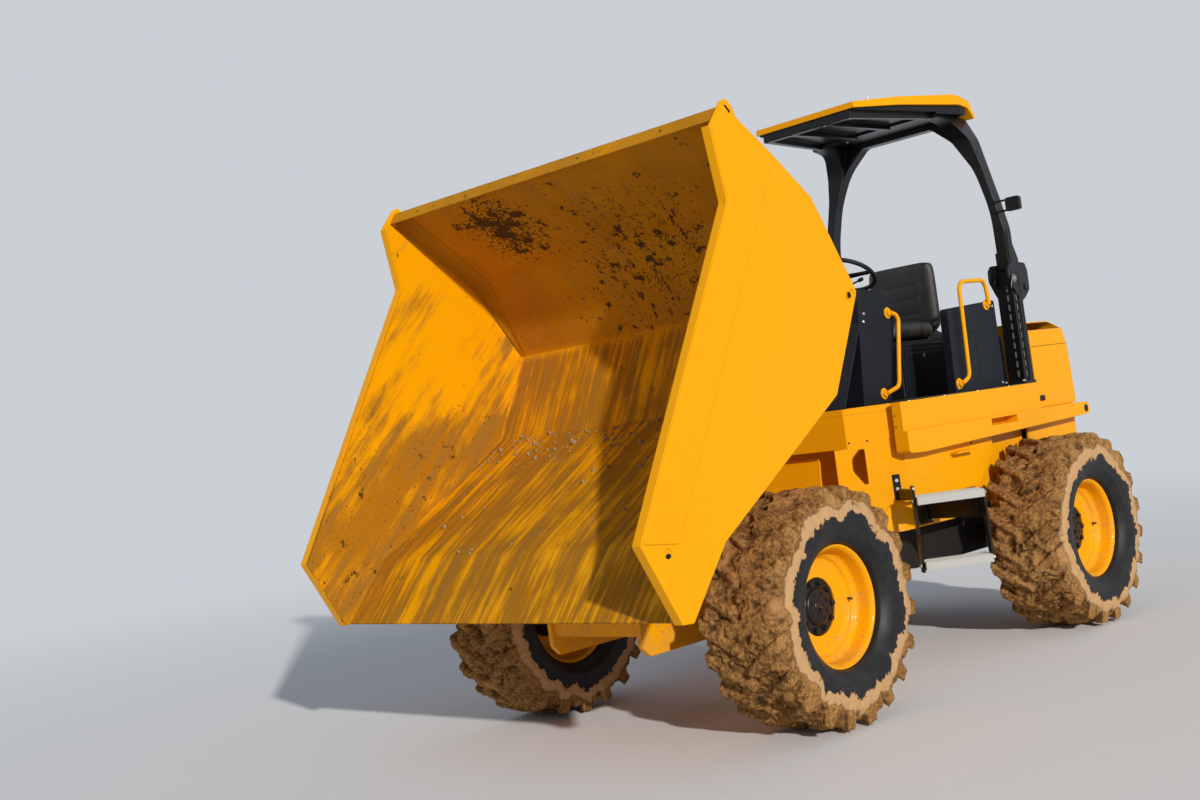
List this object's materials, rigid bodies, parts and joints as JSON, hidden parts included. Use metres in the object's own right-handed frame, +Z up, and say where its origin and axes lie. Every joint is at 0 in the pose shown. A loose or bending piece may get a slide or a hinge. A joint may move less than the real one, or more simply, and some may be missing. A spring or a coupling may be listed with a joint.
{
  "type": "site dumper",
  "caption": "Articulated four-wheel site dumper with front-tipping skip, operator's seat, folding roof hoop and lugged tyres.",
  "frame": {"origin": "on the floor, under the middle of the machine's outline as it stands with the skip tipped", "axes": "+X to the driver's left, -Y forwards towards the skip's lip, +Z up"},
  "size_m": [2.448, 4.93, 3.402],
  "materials": {
    "body_yellow": "gloss",
    "frame_black": "satin",
    "axle_black": "satin",
    "engine_iron": "matte",
    "hub_black": "satin",
    "cowl_black": "matte",
    "grip_black": "matte",
    "seat_vinyl": "matte",
    "tyre_rubber": "matte",
    "step_alloy": "satin",
    "rod_chrome": "polished"
  },
  "bodies": {
    "rear_body": {"rear_chassis": "body_yellow", "chassis_rails": "axle_black", "tail_frame": "body_yellow", "engine_block": "engine_iron", "rear_axle": "axle_black", "platform": "body_yellow", "console": "cowl_black", "console_apron": "cowl_black", "steering_column": "cowl_black", "steering_wheel": "grip_black", "seat_base": "cowl_black", "seat_cushion": "seat_vinyl", "seat_back": "seat_vinyl", "side_panels": "cowl_black", "grab_rails": "body_yellow", "ladder_left": "frame_black", "ladder_right": "frame_black", "treads_left": "step_alloy", "treads_right": "step_alloy", "hoop_base": "frame_black"},
    "canopy": {"hoop_upper": "frame_black", "roof_panel": "body_yellow", "roof_frame": "frame_black", "mirrors": "frame_black"},
    "hood": {"hood": "body_yellow"},
    "front_body": {"front_chassis": "body_yellow", "front_axle": "axle_black"},
    "skip": {"skip_floor": "body_yellow", "skip_side_left": "body_yellow", "skip_side_right": "body_yellow", "skip_frame": "body_yellow"},
    "tip_barrel": {"tip_barrel": "axle_black"},
    "tip_rod": {"tip_rod": "rod_chrome"},
    "steer_barrel": {"steer_barrel": "axle_black"},
    "steer_rod": {"steer_rod": "rod_chrome"},
    "wheel_front_left": {"tyre_front_left": "tyre_rubber", "rim_front_left": "body_yellow", "hub_front_left": "hub_black"},
    "wheel_front_right": {"tyre_front_right": "tyre_rubber", "rim_front_right": "body_yellow", "hub_front_right": "hub_black"},
    "wheel_rear_left": {"tyre_rear_left": "tyre_rubber", "rim_rear_left": "body_yellow", "hub_rear_left": "hub_black"},
    "wheel_rear_right": {"tyre_rear_right": "tyre_rubber", "rim_rear_right": "body_yellow", "hub_rear_right": "hub_black"}
  },
  "joints": [
    {"name": "articulation", "type": "hinge", "parent": "rear_body", "child": "front_body", "pos_m": [0, 0.285, 0.7245], "axis": [0, 0, 1], "range_deg": [-28, 28]},
    {"name": "skip_tip", "type": "hinge", "parent": "front_body", "child": "skip", "pos_m": [0, -1.253, 1.2915], "axis": [1, 0, 0], "range_deg": [-60, 0]},
    {"name": "tip_barrel_swing", "type": "hinge", "parent": "front_body", "child": "tip_barrel", "pos_m": [0, -0.715, 0.5245], "axis": [1, 0, 0], "range_deg": [-0.5, 6.37]},
    {"name": "tip_rod_slide", "type": "slide", "parent": "tip_barrel", "child": "tip_rod", "axis": [0, -0.3443, 0.9389], "range_m": [-0.2346, 0.003]},
    {"name": "steer_barrel_swing", "type": "hinge", "parent": "rear_body", "child": "steer_barrel", "pos_m": [0.24, 0.735, 0.7145], "axis": [0, 0, 1], "range_deg": [-8.33, 8.33]},
    {"name": "steer_rod_slide", "type": "slide", "parent": "steer_barrel", "child": "steer_rod", "axis": [0.0995, -0.995, 0], "range_m": [-0.1392, 0.1392]},
    {"name": "canopy_fold", "type": "hinge", "parent": "rear_body", "child": "canopy", "pos_m": [0, 1.925, 2.1195], "axis": [-1, 0, 0], "range_deg": [0, 90]},
    {"name": "hood_tilt", "type": "hinge", "parent": "rear_body", "child": "hood", "pos_m": [0, 2.435, 1.3545], "axis": [-1, 0, 0], "range_deg": [0, 60]},
    {"name": "roll_front_left", "type": "hinge", "parent": "front_body", "child": "wheel_front_left", "pos_m": [0.93, -1.04, 0.5845], "axis": [1, 0, 0], "continuous": true},
    {"name": "roll_front_right", "type": "hinge", "parent": "front_body", "child": "wheel_front_right", "pos_m": [-0.93, -1.04, 0.5845], "axis": [1, 0, 0], "continuous": true},
    {"name": "roll_rear_left", "type": "hinge", "parent": "rear_body", "child": "wheel_rear_left", "pos_m": [0.93, 1.61, 0.5845], "axis": [1, 0, 0], "continuous": true},
    {"name": "roll_rear_right", "type": "hinge", "parent": "rear_body", "child": "wheel_rear_right", "pos_m": [-0.93, 1.61, 0.5845], "axis": [1, 0, 0], "continuous": true}
  ],
  "couplings": [
    {"joint": "tip_barrel_swing", "follows": "skip_tip", "ratio": -0.097906},
    {"joint": "tip_rod_slide", "follows": "skip_tip", "m_per_rad": 0.22115},
    {"joint": "steer_barrel_swing", "follows": "articulation", "ratio": 0.2868},
    {"joint": "steer_rod_slide", "follows": "articulation", "m_per_rad": -0.2807}
  ]
}
